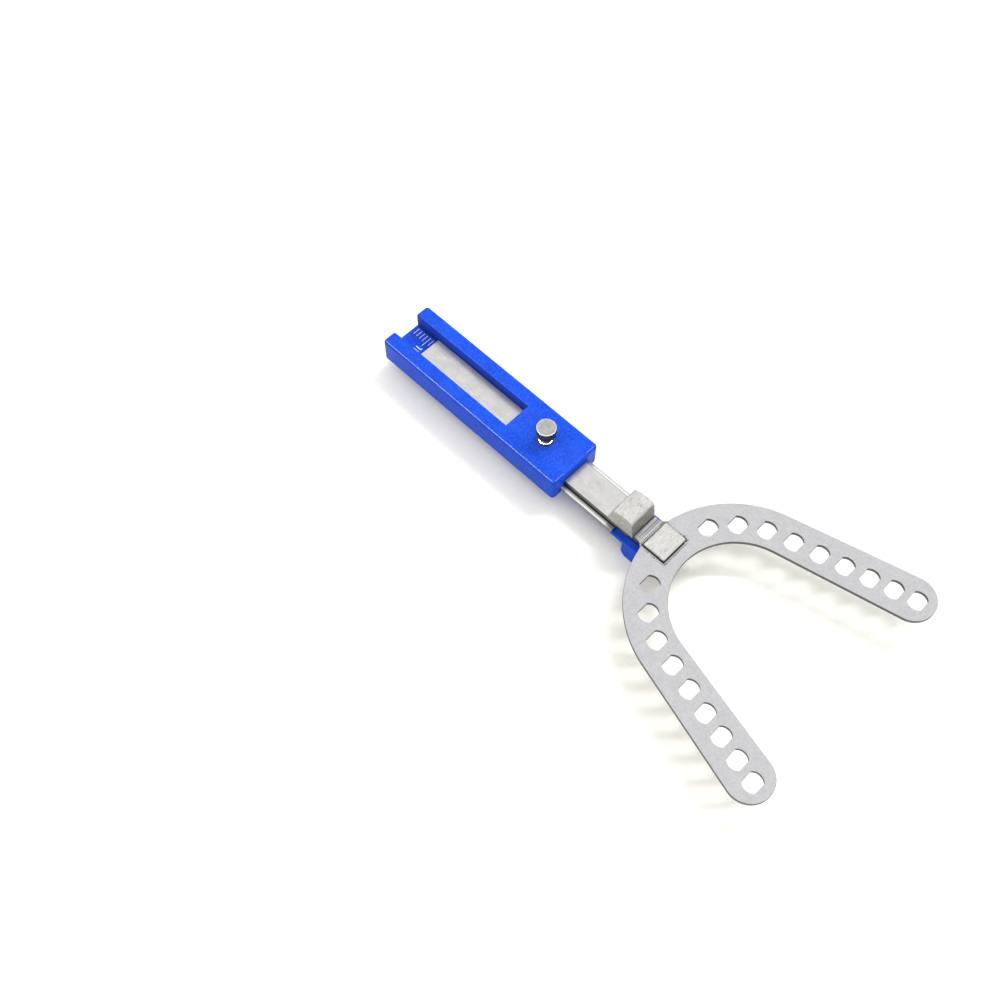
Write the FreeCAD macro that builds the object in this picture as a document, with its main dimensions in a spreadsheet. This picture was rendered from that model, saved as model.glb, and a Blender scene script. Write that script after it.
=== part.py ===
import FreeCAD, Part
import math
import os
import Sketcher

# Adjustable bite gauge: a moulded handle with a millimetre scale, a steel bite fork that
# slides in it, and a lower incisor clamp. +X points from the handle to the fork tips,
# +Y to the left, +Z up. The origin is the middle of the footprint on the table.
# Lengths are millimetres. Distances along X are counted from the handle's front face.

doc = FreeCAD.newDocument("bite_gauge")
sheet = doc.addObject("Spreadsheet::Sheet", "Dims")

DIMENSIONS = {
    "front_x": -10.96,
    # handle
    "handle_length": 55.7,
    "handle_width": 14.6,
    "handle_bottom": 3.0,
    "handle_height": 7.3,
    "handle_round": 0.9,
    "window_front": 18.5,
    "window_round": 0.4,
    "channel_width": 7.2,
    "floor_level": 5.65,
    "channel_height": 1.65,
    "clamp_slot_length": 22.0,
    "clamp_slot_width": 10.2,
    "clamp_slot_level": 4.6,
    "clamp_slot_height": 1.15,
    # nose under the bar and the lower incisor lug at its end
    "nose_root": 2.0,
    "nose_width": 8.8,
    "nose_level": 3.4,
    "nose_height": 1.2,
    "lip_gate_start": 6.0,
    "lip_gate_width": 5.4,
    "lug_rear": 18.8,
    "lug_length": 5.7,
    "lug_width": 10.0,
    "lug_height": 5.7,
    "lug_rear_round": 2.0,
    "lug_front_round": 2.4,
    # screws
    "screw_back": 9.45,
    "insert_radius": 1.75,
    "insert_bore": 1.3,
    "flange_radius": 2.0,
    "flange_height": 0.2,
    "upper_insert_height": 2.8,
    "lower_insert_height": 1.4,
    "stud_radius": 1.25,
    "pad_radius": 1.2,
    "pad_height": 0.76,
    "upper_pad_level": 7.22,
    "upper_stud_level": 8.0,
    "upper_stud_length": 2.6,
    "knob_radius": 2.3,
    "knob_height": 4.65,
    "knob_chamfer": 0.22,
    "shoulder_radius": 1.75,
    "shoulder_height": 1.7,
    "lower_knob_radius": 3.0,
    "lower_knob_height": 2.55,
    "lower_stud_length": 1.33,
    "lower_pad_level": 3.92,
    "knurl_count": 28,
    "knurl_depth": 0.16,
    # fork bar and its two incisor blocks
    "bar_rear": 48.05,
    "bar_length": 77.6,
    "bar_width": 7.06,
    "bar_thickness": 1.4,
    "bar_level": 5.8,
    "bar_corner": 0.25,
    "bar_edge_break": 0.1,
    "block_level": 7.2,
    "hook_rear": 12.9,
    "hook_width": 7.5,
    "hook_lean": 1.2,
    "hook_rear_height": 5.0,
    "hook_crest": 5.1,
    "hook_height": 5.9,
    "hook_brow": 6.75,
    "hook_brow_height": 5.15,
    "hook_length": 7.6,
    "hook_rear_round": 0.6,
    "hook_crest_round": 2.4,
    "hook_brow_round": 1.0,
    "tile_rear": 23.3,
    "tile_length": 6.0,
    "tile_width": 7.5,
    "tile_height": 1.8,
    "tile_round": 0.35,
    # fork plate
    "plate_level": 7.2,
    "plate_thickness": 1.0,
    "arch_centre": 48.1,
    "arch_outer": 25.25,
    "arch_inner": 15.65,
    "arm_outer_angle": 15.4,
    "arm_inner_angle": 13.27,
    "slot_row_angle": 15.375,
    "tip_centre": 72.36,
    "neck_rear": 20.55,
    "neck_width": 7.1,
    "neck_reach": 5.0,
    "neck_round": 1.9,
    "cutout_rear": 23.05,
    "cutout_length": 6.5,
    "cutout_width": 7.9,
    "slot_flats": 3.5,
    "slot_diameter": 4.6,
    "slot_row": 19.88,
    "slot_first_angle": 29.0,
    "slot_pitch": 6.61,
    "slot_pitch_step": 0.187,
    "plate_edge_break": 0.12,
    # clamp strip and its lip
    "strip_rear": 14.0,
    "strip_length": 29.4,
    "strip_width": 10.0,
    "strip_thickness": 1.0,
    "strip_level": 4.7,
    "strip_corner": 0.3,
    "strip_edge_break": 0.12,
    "lip_width": 4.8,
    "lip_thickness": 1.0,
    "lip_drop": 3.0,
    # printed scale
    "scale_zero": 40.5,
    "tick_gap": 1.0,
    "tick_edge": 3.15,
    "tick_short": 1.9,
    "tick_long": 2.9,
    "tick_width": 0.15,
    "ink": 0.07,
    "digit_height": 1.7,
    "digit_width": 1.0,
    "digit_stroke": 0.24,
    "digit_flag": 0.35,
    "digit_gap": 0.6,
    "digit_edge": -0.7,
}

SLOTS_PER_ARM = 9
FIRST_TICK = 1
LAST_TICK = 14
LONG_TICK_EVERY = 5
DEGREES_PER_RADIAN = "57.29577951"


def fill_sheet():
    for row, (alias, value) in enumerate(DIMENSIONS.items(), start=1):
        sheet.set("A%d" % row, alias)
        sheet.set("B%d" % row, str(value))
        sheet.setAlias("B%d" % row, alias)
    doc.recompute()


def cell(name):
    return "Dims." + name


def value_of(name):
    return float(sheet.get(name))


def place(piece, x="0", y="0", z="0"):
    """Bind a piece's Placement: x from the handle's front face, y and z from the frame."""
    piece.setExpression("Placement.Base.x", "(%s + %s) * 1 mm" % (cell("front_x"), x))
    piece.setExpression("Placement.Base.y", "(%s) * 1 mm" % y)
    piece.setExpression("Placement.Base.z", "(%s) * 1 mm" % z)


def new_body(label):
    body = doc.addObject("PartDesign::Body", label)
    body.Label = label
    return body


def origin_feature(body, role):
    return [f for f in body.Origin.OriginFeatures if f.Role == role][0]


def new_sketch(body, name, role="XY_Plane", offset=None):
    sketch = body.newObject("Sketcher::SketchObject", name)
    sketch.AttachmentSupport = [(origin_feature(body, role), "")]
    sketch.MapMode = "FlatFace"
    if offset is not None:
        sketch.setExpression("AttachmentOffset.Base.z", "(%s) * 1 mm" % offset)
        doc.recompute()
    return sketch


def evaluate(expression):
    """Value of an expression over the sheet's aliases, as a plain number."""
    result = sheet.evalExpression(expression.replace("Dims.", ""))
    return float(getattr(result, "Value", result))


def bind(sketch, constraint, expression):
    index = sketch.addConstraint(constraint)
    sketch.setExpression("Constraints[%d]" % index, expression)


def pin_point(sketch, line, end, x=None, y=None):
    """Fix one end of a line at expressions for its sketch coordinates."""
    if x is not None:
        bind(sketch, Sketcher.Constraint("DistanceX", -1, 1, line, end, evaluate(x)), x)
    if y is not None:
        bind(sketch, Sketcher.Constraint("DistanceY", -1, 1, line, end, evaluate(y)), y)


def draw_polygon(sketch, corners):
    """Closed polygon whose corners are pairs of expressions."""
    points = [FreeCAD.Vector(evaluate(x), evaluate(y), 0) for x, y in corners]
    count = len(points)
    for index in range(count):
        sketch.addGeometry(Part.LineSegment(points[index], points[(index + 1) % count]), False)
    for index in range(count):
        sketch.addConstraint(Sketcher.Constraint("Coincident", index, 2, (index + 1) % count, 1))
    for index, (x, y) in enumerate(corners):
        pin_point(sketch, index, 1, x, y)


def draw_rectangle(sketch, x_low, x_high, width):
    """Rectangle between two X expressions, centred on the X axis."""
    half = "(%s) / 2" % width
    low = "-(%s) / 2" % width
    draw_polygon(sketch, [(x_low, low), (x_high, low), (x_high, half), (x_low, half)])


def draw_circle(sketch, x, y, radius):
    centre = FreeCAD.Vector(evaluate(x), evaluate(y), 0)
    circle = sketch.addGeometry(Part.Circle(centre, FreeCAD.Vector(0, 0, 1), evaluate(radius)), False)
    bind(sketch, Sketcher.Constraint("Radius", circle, evaluate(radius)), radius)
    bind(sketch, Sketcher.Constraint("DistanceX", -1, 1, circle, 3, evaluate(x)), x)
    if evaluate(y) == 0:
        sketch.addConstraint(Sketcher.Constraint("PointOnObject", circle, 3, -1))
    else:
        bind(sketch, Sketcher.Constraint("DistanceY", -1, 1, circle, 3, evaluate(y)), y)


def pad(body, sketch, name, length, backwards=False):
    feature = body.newObject("PartDesign::Pad", name)
    feature.Profile = sketch
    feature.setExpression("Length", "(%s) * 1 mm" % length)
    feature.Reversed = backwards
    doc.recompute()
    return feature


def pocket(body, sketch, name, depth):
    before = body.Shape.Volume
    feature = body.newObject("PartDesign::Pocket", name)
    feature.Profile = sketch
    feature.setExpression("Length", "(%s) * 1 mm" % depth)
    doc.recompute()
    if body.Shape.Volume >= before:
        raise RuntimeError(name + " removed nothing")
    return feature


def revolve(body, sketch, name):
    feature = body.newObject("PartDesign::Revolution", name)
    feature.Profile = sketch
    feature.ReferenceAxis = (sketch, ["V_Axis"])
    feature.Angle = 360
    doc.recompute()
    return feature


def edge_names(feature, wanted):
    names = []
    for index, edge in enumerate(feature.Shape.Edges, start=1):
        if wanted(edge):
            names.append("Edge%d" % index)
    return names


def round_edges(body, base, name, wanted, radius):
    names = edge_names(base, wanted)
    if not names:
        raise RuntimeError(name + " found no edges")
    feature = body.newObject("PartDesign::Fillet", name)
    feature.Base = (base, names)
    feature.setExpression("Radius", "(%s) * 1 mm" % radius)
    doc.recompute()
    return feature


def is_near(value, target, tolerance=0.01):
    return abs(value - target) < tolerance


def is_level(edge):
    return is_near(edge.BoundBox.ZLength, 0)


def make_handle():
    """Moulded handle: channel, bridge, clamp slot, nose and lower incisor lug in one piece."""
    body = new_body("handle")
    place(body)
    rear = "-" + cell("handle_length")
    top = "(%s + %s)" % (cell("handle_bottom"), cell("handle_height"))

    block_sketch = new_sketch(body, "handle_outline", offset=cell("handle_bottom"))
    draw_rectangle(block_sketch, rear, "0", cell("handle_width"))
    block = pad(body, block_sketch, "handle_block", cell("handle_height"))
    round_edges(body, block, "handle_rounding", lambda edge: True, cell("handle_round"))

    window = new_sketch(body, "window_outline", offset=top)
    draw_rectangle(window, rear + " - 1", "-" + cell("window_front"), cell("channel_width"))
    opened = pocket(body, window, "window", top + " - " + cell("floor_level"))
    top_z = value_of("handle_bottom") + value_of("handle_height")
    rail_y = value_of("channel_width") / 2

    def window_edge(edge):
        box = edge.BoundBox
        return is_near(box.Center.z, top_z) and is_near(box.ZLength, 0) and abs(box.Center.y) < rail_y + 0.1

    round_edges(body, opened, "window_rounding", window_edge, cell("window_round"))

    channel = new_sketch(body, "channel_outline", offset=cell("floor_level") + " + " + cell("channel_height"))
    draw_rectangle(channel, "-%s - 1" % cell("window_front"), "1", cell("channel_width"))
    pocket(body, channel, "channel", cell("channel_height"))

    slot_top = cell("clamp_slot_level") + " + " + cell("clamp_slot_height")
    clamp_slot = new_sketch(body, "clamp_slot_outline", offset=slot_top)
    draw_rectangle(clamp_slot, "-" + cell("clamp_slot_length"), "1", cell("clamp_slot_width"))
    pocket(body, clamp_slot, "clamp_slot", cell("clamp_slot_height"))

    upper_hole = new_sketch(body, "upper_hole_outline", offset=top)
    draw_circle(upper_hole, "-" + cell("screw_back"), "0", cell("insert_radius"))
    bridge = "%s - %s - %s" % (top, cell("floor_level"), cell("channel_height"))
    pocket(body, upper_hole, "upper_hole", bridge)

    lower_hole = new_sketch(body, "lower_hole_outline", offset=cell("clamp_slot_level"))
    draw_circle(lower_hole, "-" + cell("screw_back"), "0", cell("insert_radius"))
    pocket(body, lower_hole, "lower_hole", "%s - %s" % (cell("clamp_slot_level"), cell("handle_bottom")))

    nose = new_sketch(body, "nose_outline", offset=cell("nose_level"))
    nose_end = "%s + 1" % cell("lug_rear")
    draw_rectangle(nose, "-" + cell("nose_root"), nose_end, cell("nose_width"))
    pad(body, nose, "nose", cell("nose_height"))

    lug_sketch = new_sketch(body, "lug_outline")
    lug_front = "%s + %s" % (cell("lug_rear"), cell("lug_length"))
    draw_rectangle(lug_sketch, cell("lug_rear"), lug_front, cell("lug_width"))
    lug = pad(body, lug_sketch, "lug", cell("lug_height"))

    rear_x = value_of("lug_rear")
    front_x = rear_x + value_of("lug_length")
    side_y = value_of("lug_width") / 2

    def lug_edge(x, z):
        return lambda edge: (edge.BoundBox.YLength > side_y and is_near(edge.BoundBox.Center.x, x)
                             and is_near(edge.BoundBox.Center.z, z))

    lug = round_edges(body, lug, "lug_front_rounding", lug_edge(front_x, 0), cell("lug_front_round"))
    lug = round_edges(body, lug, "lug_rear_rounding", lug_edge(rear_x, 0), cell("lug_rear_round"))

    gate = new_sketch(body, "lip_gate_outline", offset=cell("nose_level") + " + " + cell("nose_height"))
    draw_rectangle(gate, cell("lip_gate_start"), cell("lug_rear"), cell("lip_gate_width"))
    pocket(body, gate, "lip_gate", cell("nose_height"))
    return body


def make_turned(label, profile):
    """Solid of revolution about its own Z axis from a closed profile of radius and height."""
    body = new_body(label)
    sketch = new_sketch(body, label + "_profile", "XZ_Plane")
    draw_polygon(sketch, profile)
    revolve(body, sketch, label + "_turning")
    return body


def make_insert(label, height, hangs_down):
    bore = cell("insert_bore")
    flange = cell("flange_height")
    shell = cell("insert_radius")
    rim = cell("flange_radius")
    if hangs_down:
        profile = [(bore, "0"), (shell, "0"), (shell, height), (rim, height),
                   (rim, height + " + " + flange), (bore, height + " + " + flange)]
    else:
        profile = [(bore, "0"), (rim, "0"), (rim, flange), (shell, flange),
                   (shell, flange + " + " + height), (bore, flange + " + " + height)]
    return make_turned(label, profile)


def make_knurled_screw(label, stud_length, knob_radius, knob_height, knob_on_top):
    """Thumb screw with a straight knurl: a stud, and a chamfered knob above or below it.

    A knob on top stands on a plain shoulder, which is part of its height.
    """
    stud = cell("stud_radius")
    chamfer = cell("knob_chamfer")
    waist = knob_radius + " - " + chamfer
    total = stud_length + " + " + knob_height
    if knob_on_top:
        shoulder = cell("shoulder_radius")
        knob_low = stud_length + " + " + cell("shoulder_height")
        profile = [("0", "0"), (stud, "0"), (stud, stud_length), (shoulder, stud_length),
                   (shoulder, knob_low), (waist, knob_low),
                   (knob_radius, knob_low + " + " + chamfer), (knob_radius, total + " - " + chamfer),
                   (waist, total), ("0", total)]
        knob_high = total
    else:
        knob_low = "0"
        profile = [("0", "0"), (waist, "0"), (knob_radius, chamfer),
                   (knob_radius, knob_height + " - " + chamfer), (waist, knob_height),
                   (stud, knob_height), (stud, total), ("0", total)]
        knob_high = knob_height
    body = make_turned(label, profile)
    depth = cell("knurl_depth")
    groove = new_sketch(body, label + "_groove_outline", offset=knob_high)
    outside = knob_radius + " + " + depth
    draw_polygon(groove, [(knob_radius + " - " + depth, "0"), (outside, "-" + depth + " * 1.6"),
                          (outside, depth + " * 1.6")])
    cut = pocket(body, groove, label + "_groove", "%s - (%s)" % (knob_high, knob_low))
    pattern = body.newObject("PartDesign::PolarPattern", label + "_knurl")
    pattern.Originals = [cut]
    pattern.Axis = (origin_feature(body, "Z_Axis"), [""])
    pattern.Angle = 360
    pattern.setExpression("Occurrences", cell("knurl_count"))
    body.Tip = pattern
    doc.recompute()
    return body


def make_screw_sets():
    x = "-" + cell("screw_back")
    handle_top = cell("handle_bottom") + " + " + cell("handle_height")
    upper_insert = make_insert("upper_insert", cell("upper_insert_height"), True)
    place(upper_insert, x, z=handle_top + " - " + cell("upper_insert_height"))
    lower_insert = make_insert("lower_insert", cell("lower_insert_height"), False)
    place(lower_insert, x, z=cell("handle_bottom") + " - " + cell("flange_height"))

    upper_screw = make_knurled_screw("upper_screw", cell("upper_stud_length"), cell("knob_radius"),
                                     cell("knob_height"), True)
    place(upper_screw, x, z=cell("upper_stud_level"))
    lower_screw = make_knurled_screw("lower_screw", cell("lower_stud_length"), cell("lower_knob_radius"),
                                     cell("lower_knob_height"), False)
    place(lower_screw, x)

    pads = []
    for label, level in (("upper_pad", "upper_pad_level"), ("lower_pad", "lower_pad_level")):
        piece = new_body(label)
        sketch = new_sketch(piece, label + "_outline")
        draw_circle(sketch, "0", "0", cell("pad_radius"))
        pad(piece, sketch, label + "_disc", cell("pad_height"))
        place(piece, x, z=cell(level))
        pads.append(piece)
    return [upper_insert, lower_insert, upper_screw, lower_screw] + pads


def make_bar():
    body = new_body("fork_bar")
    sketch = new_sketch(body, "bar_outline")
    draw_rectangle(sketch, "0", cell("bar_length"), cell("bar_width"))
    bar = pad(body, sketch, "bar_strip", cell("bar_thickness"))
    bar = round_edges(body, bar, "bar_corners", lambda edge: edge.BoundBox.ZLength > 1.0, cell("bar_corner"))
    round_edges(body, bar, "bar_edges", is_level, cell("bar_edge_break"))
    place(body, "-" + cell("bar_rear"), z=cell("bar_level"))
    return body


def make_labial_block():
    """Tall block in front of the upper incisors: leaning rear, domed crest, rounded brow."""
    body = new_body("labial_block")
    sketch = new_sketch(body, "labial_profile", "XZ_Plane", "-%s / 2" % cell("hook_width"))
    draw_polygon(sketch, [("0", "0"), (cell("hook_length"), "0"),
                          (cell("hook_brow"), cell("hook_brow_height")),
                          (cell("hook_crest"), cell("hook_height")),
                          (cell("hook_lean"), cell("hook_rear_height"))])
    block = pad(body, sketch, "labial_solid", cell("hook_width"))

    def top_edge(x_name):
        x = value_of(x_name)
        return lambda edge: edge.BoundBox.YLength > 5 and is_near(edge.BoundBox.Center.x, x)

    block = round_edges(body, block, "labial_crest", top_edge("hook_crest"), cell("hook_crest_round"))
    block = round_edges(body, block, "labial_brow", top_edge("hook_brow"), cell("hook_brow_round"))
    round_edges(body, block, "labial_rear", top_edge("hook_lean"), cell("hook_rear_round"))
    place(body, cell("hook_rear"), z=cell("block_level"))
    return body


def make_lingual_block():
    """Low square block behind the upper incisors, standing through the fork plate's cut-out."""
    body = new_body("lingual_block")
    sketch = new_sketch(body, "tile_outline")
    draw_rectangle(sketch, "0", cell("tile_length"), cell("tile_width"))
    tile = pad(body, sketch, "tile", cell("tile_height"))
    height = value_of("tile_height")

    def tile_edge(edge):
        return edge.BoundBox.ZLength > 1 or is_near(edge.BoundBox.ZMin, height)

    round_edges(body, tile, "tile_rounding", tile_edge, cell("tile_round"))
    place(body, cell("tile_rear"), z=cell("block_level"))
    return body


def unit_vector(degrees):
    return FreeCAD.Rotation(FreeCAD.Vector(0, 0, 1), degrees).multVec(FreeCAD.Vector(1, 0, 0))


def arc_between(centre, radius, start_angle, end_angle):
    middle_angle = (start_angle + end_angle) / 2
    angles = (start_angle, middle_angle, end_angle)
    return Part.Arc(*[centre + unit_vector(angle) * radius for angle in angles])


def draw_half_arch(sketch):
    """Left half of the U outline: outer arc, outer edge, tip, inner edge, inner arc, centre line."""
    outer_angle = value_of("arm_outer_angle")
    inner_angle = value_of("arm_inner_angle")
    outer = value_of("arch_outer")
    inner = value_of("arch_inner")
    centre = FreeCAD.Vector(value_of("arch_centre"), 0, 0)
    outer_normal = unit_vector(90 + outer_angle)
    inner_normal = unit_vector(90 + inner_angle)
    both = outer_normal + inner_normal
    tip_x = value_of("tip_centre") - centre.x
    tip = FreeCAD.Vector(tip_x, (outer + inner - tip_x * both.x) / both.y, 0)
    tip_radius = outer - tip.dot(outer_normal)
    tip = tip + centre
    outer_arc = arc_between(centre, outer, 180, 90 + outer_angle)
    tip_arc = arc_between(tip, tip_radius, 90 + outer_angle, inner_angle - 90)
    inner_arc = arc_between(centre, inner, 90 + inner_angle, 180)
    outer_edge = Part.LineSegment(centre + outer_normal * outer, tip + outer_normal * tip_radius)
    inner_edge = Part.LineSegment(tip - inner_normal * tip_radius, centre + inner_normal * inner)
    west = FreeCAD.Vector(-1, 0, 0)
    middle_edge = Part.LineSegment(centre + west * inner, centre + west * outer)
    shapes = [outer_arc, outer_edge, tip_arc, inner_edge, inner_arc, middle_edge]
    for shape in shapes:
        sketch.addGeometry(shape, False)
    return shapes


def end_near(sketch, geometry, point):
    """Which end of a piece of sketch geometry lies at a point."""
    for position in (1, 2):
        if (sketch.getPoint(geometry, position) - point).Length < 0.001:
            return position
    raise RuntimeError("no end at the point")


def constrain_half_arch(sketch, shapes):
    joints = [(0, 1), (1, 2), (2, 3), (3, 4)]
    for first, second in joints:
        line = shapes[first] if isinstance(shapes[first], Part.LineSegment) else shapes[second]
        ends = [line.StartPoint, line.EndPoint]
        for point in ends:
            hits = []
            for geometry in (first, second):
                for position in (1, 2):
                    if (sketch.getPoint(geometry, position) - point).Length < 0.001:
                        hits.append((geometry, position))
            if len(hits) == 2:
                sketch.addConstraint(Sketcher.Constraint("Tangent", hits[0][0], hits[0][1],
                                                         hits[1][0], hits[1][1]))
    inner_end = shapes[5].StartPoint
    outer_end = shapes[5].EndPoint
    sketch.addConstraint(Sketcher.Constraint("Coincident", 4, end_near(sketch, 4, inner_end), 5, 1))
    sketch.addConstraint(Sketcher.Constraint("Coincident", 0, end_near(sketch, 0, outer_end), 5, 2))
    sketch.addConstraint(Sketcher.Constraint("Coincident", 0, 3, 4, 3))
    sketch.addConstraint(Sketcher.Constraint("PointOnObject", 0, 3, -1))
    sketch.addConstraint(Sketcher.Constraint("PointOnObject", 5, 1, -1))
    sketch.addConstraint(Sketcher.Constraint("PointOnObject", 5, 2, -1))
    bind(sketch, Sketcher.Constraint("Radius", 0, value_of("arch_outer")), cell("arch_outer"))
    bind(sketch, Sketcher.Constraint("Radius", 4, value_of("arch_inner")), cell("arch_inner"))
    bind(sketch, Sketcher.Constraint("DistanceX", -1, 1, 0, 3, value_of("arch_centre")), cell("arch_centre"))
    bind(sketch, Sketcher.Constraint("DistanceX", -1, 1, 2, 3, value_of("tip_centre")), cell("tip_centre"))
    outer_lean = math.radians(value_of("arm_outer_angle"))
    inner_lean = math.radians(value_of("arm_inner_angle")) + math.pi
    bind(sketch, Sketcher.Constraint("Angle", 1, outer_lean), cell("arm_outer_angle") + " * 1 deg")
    bind(sketch, Sketcher.Constraint("Angle", 3, inner_lean), "(%s + 180) * 1 deg" % cell("arm_inner_angle"))


def slot_centre(index):
    """Expressions for a slot's centre: along the arch first, then along the straight arm."""
    steps = index * (index - 1) // 2
    run = "(%s * %d - %s * %d)" % (cell("slot_pitch"), index, cell("slot_pitch_step"), steps)
    row = cell("slot_row")
    turn_left = "(90 - %s - %s)" % (cell("slot_row_angle"), cell("slot_first_angle"))
    arc_run = "(%s * %s / %s)" % (turn_left, row, DEGREES_PER_RADIAN)
    if evaluate(run) < evaluate(arc_run):
        angle = "((%s + %s / %s * %s) * 1 deg)" % (cell("slot_first_angle"), run, row, DEGREES_PER_RADIAN)
        return "%s - %s * cos(%s)" % (cell("arch_centre"), row, angle), "%s * sin(%s)" % (row, angle)
    lean = "(%s * 1 deg)" % cell("slot_row_angle")
    rest = "(%s - %s)" % (run, arc_run)
    x = "%s - %s * sin(%s) + %s * cos(%s)" % (cell("arch_centre"), row, lean, rest, lean)
    y = "%s * cos(%s) + %s * sin(%s)" % (row, lean, rest, lean)
    return x, y


def draw_slot(sketch, x, y):
    """Round hole with a flat on its front and rear sides, centred at two expressions."""
    first = sketch.GeometryCount
    radius = value_of("slot_diameter") / 2
    half_width = value_of("slot_flats") / 2
    middle = FreeCAD.Vector(evaluate(x), evaluate(y), 0)
    across = FreeCAD.Vector(half_width, 0, 0)
    up = FreeCAD.Vector(0, math.sqrt(radius ** 2 - half_width ** 2), 0)
    crown = FreeCAD.Vector(0, radius, 0)
    sketch.addGeometry([
        Part.Arc(middle + up + across, middle + crown, middle + up - across),
        Part.LineSegment(middle + up - across, middle - up - across),
        Part.Arc(middle - up - across, middle - crown, middle - up + across),
        Part.LineSegment(middle - up + across, middle + up + across)], False)
    sketch.addConstraint([
        Sketcher.Constraint("Coincident", first, 2, first + 1, 1),
        Sketcher.Constraint("Coincident", first + 1, 2, first + 2, 1),
        Sketcher.Constraint("Coincident", first + 2, 2, first + 3, 1),
        Sketcher.Constraint("Coincident", first + 3, 2, first, 1),
        Sketcher.Constraint("Coincident", first, 3, first + 2, 3),
        Sketcher.Constraint("Vertical", first + 1),
        Sketcher.Constraint("Vertical", first + 3)])
    half = cell("slot_flats") + " / 2"
    bind(sketch, Sketcher.Constraint("Radius", first, radius), cell("slot_diameter") + " / 2")
    bind(sketch, Sketcher.Constraint("DistanceX", first, 3, first + 3, 1, half_width), half)
    bind(sketch, Sketcher.Constraint("DistanceX", first + 1, 1, first, 3, half_width), half)
    bind(sketch, Sketcher.Constraint("DistanceX", -1, 1, first, 3, middle.x), x)
    bind(sketch, Sketcher.Constraint("DistanceY", -1, 1, first, 3, middle.y), y)


def make_plate():
    """Flat U plate with a short neck, a cut-out for the lingual block and rows of flatted holes."""
    body = new_body("fork_plate")
    arch = new_sketch(body, "arch_outline")
    shapes = draw_half_arch(arch)
    constrain_half_arch(arch, shapes)
    doc.recompute()
    half = pad(body, arch, "half_arch", cell("plate_thickness"))

    slots = new_sketch(body, "slots_outline", offset=cell("plate_thickness"))
    for index in range(SLOTS_PER_ARM):
        x, y = slot_centre(index)
        draw_slot(slots, x, y)
    doc.recompute()
    punched = pocket(body, slots, "arm_slots", cell("plate_thickness"))

    mirror = body.newObject("PartDesign::Mirrored", "second_arm")
    mirror.Originals = [half, punched]
    mirror.MirrorPlane = (origin_feature(body, "XZ_Plane"), [""])
    body.Tip = mirror
    doc.recompute()

    neck = new_sketch(body, "neck_outline")
    neck_front = cell("neck_rear") + " + " + cell("neck_reach")
    draw_rectangle(neck, cell("neck_rear"), neck_front, cell("neck_width"))
    solid = pad(body, neck, "neck", cell("plate_thickness"))
    side = value_of("neck_width") / 2
    root_x = value_of("neck_rear") + 1

    def root_edge(edge):
        centre = edge.BoundBox.Center
        return edge.BoundBox.ZLength > 0.5 and is_near(abs(centre.y), side) and centre.x > root_x

    round_edges(body, solid, "neck_rounding", root_edge, cell("neck_round"))

    cutout = new_sketch(body, "cutout_outline", offset=cell("plate_thickness"))
    cutout_front = cell("cutout_rear") + " + " + cell("cutout_length")
    draw_rectangle(cutout, cell("cutout_rear"), cutout_front, cell("cutout_width"))
    plate = pocket(body, cutout, "cutout", cell("plate_thickness"))

    def outline_edge(edge):
        return is_level(edge) and edge.Length > value_of("cutout_width")

    round_edges(body, plate, "plate_edges", outline_edge, cell("plate_edge_break"))
    place(body, z=cell("plate_level"))
    return body


def make_clamp():
    """Flat strip that slides on the nose, with a lip bent down through the nose's gate."""
    body = new_body("clamp_strip")
    sketch = new_sketch(body, "strip_outline")
    draw_rectangle(sketch, "0", cell("strip_length"), cell("strip_width"))
    strip = pad(body, sketch, "strip", cell("strip_thickness"))
    strip = round_edges(body, strip, "strip_corners", lambda edge: edge.BoundBox.ZLength > 0.5,
                        cell("strip_corner"))

    lip_x = value_of("strip_length") - 1

    def strip_edge(edge):
        over_lip = edge.BoundBox.Center.x > lip_x and is_near(edge.BoundBox.Center.z, 0)
        return is_level(edge) and not over_lip

    round_edges(body, strip, "strip_edges", strip_edge, cell("strip_edge_break"))
    lip = new_sketch(body, "lip_outline")
    draw_rectangle(lip, cell("strip_length") + " - " + cell("lip_thickness"), cell("strip_length"),
                   cell("lip_width"))
    pad(body, lip, "lip", cell("lip_drop"), backwards=True)
    place(body, "-" + cell("strip_rear"), z=cell("strip_level"))
    return body


def make_mark(name, x, y, length, width):
    """One thin printed mark: expressions for its low corner, and its sizes along X and Y."""
    mark = doc.addObject("Part::Box", name)
    mark.setExpression("Length", "(%s) * 1 mm" % length)
    mark.setExpression("Width", "(%s) * 1 mm" % width)
    mark.setExpression("Height", "%s * 1 mm" % cell("ink"))
    place(mark, x, y, cell("floor_level"))
    return mark


def make_ticks():
    marks = []
    for number in range(FIRST_TICK, LAST_TICK + 1):
        length = cell("tick_long") if number % LONG_TICK_EVERY == 0 else cell("tick_short")
        x = "-%s - %s * %d - %s / 2" % (cell("scale_zero"), cell("tick_gap"), number, cell("tick_width"))
        marks.append(make_mark("tick_%d" % number, x, "%s - %s" % (cell("tick_edge"), length),
                               cell("tick_width"), length))
    ticks = doc.addObject("Part::Compound", "scale_ticks")
    ticks.Links = marks
    ticks.Label = "scale_ticks"
    return ticks


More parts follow.
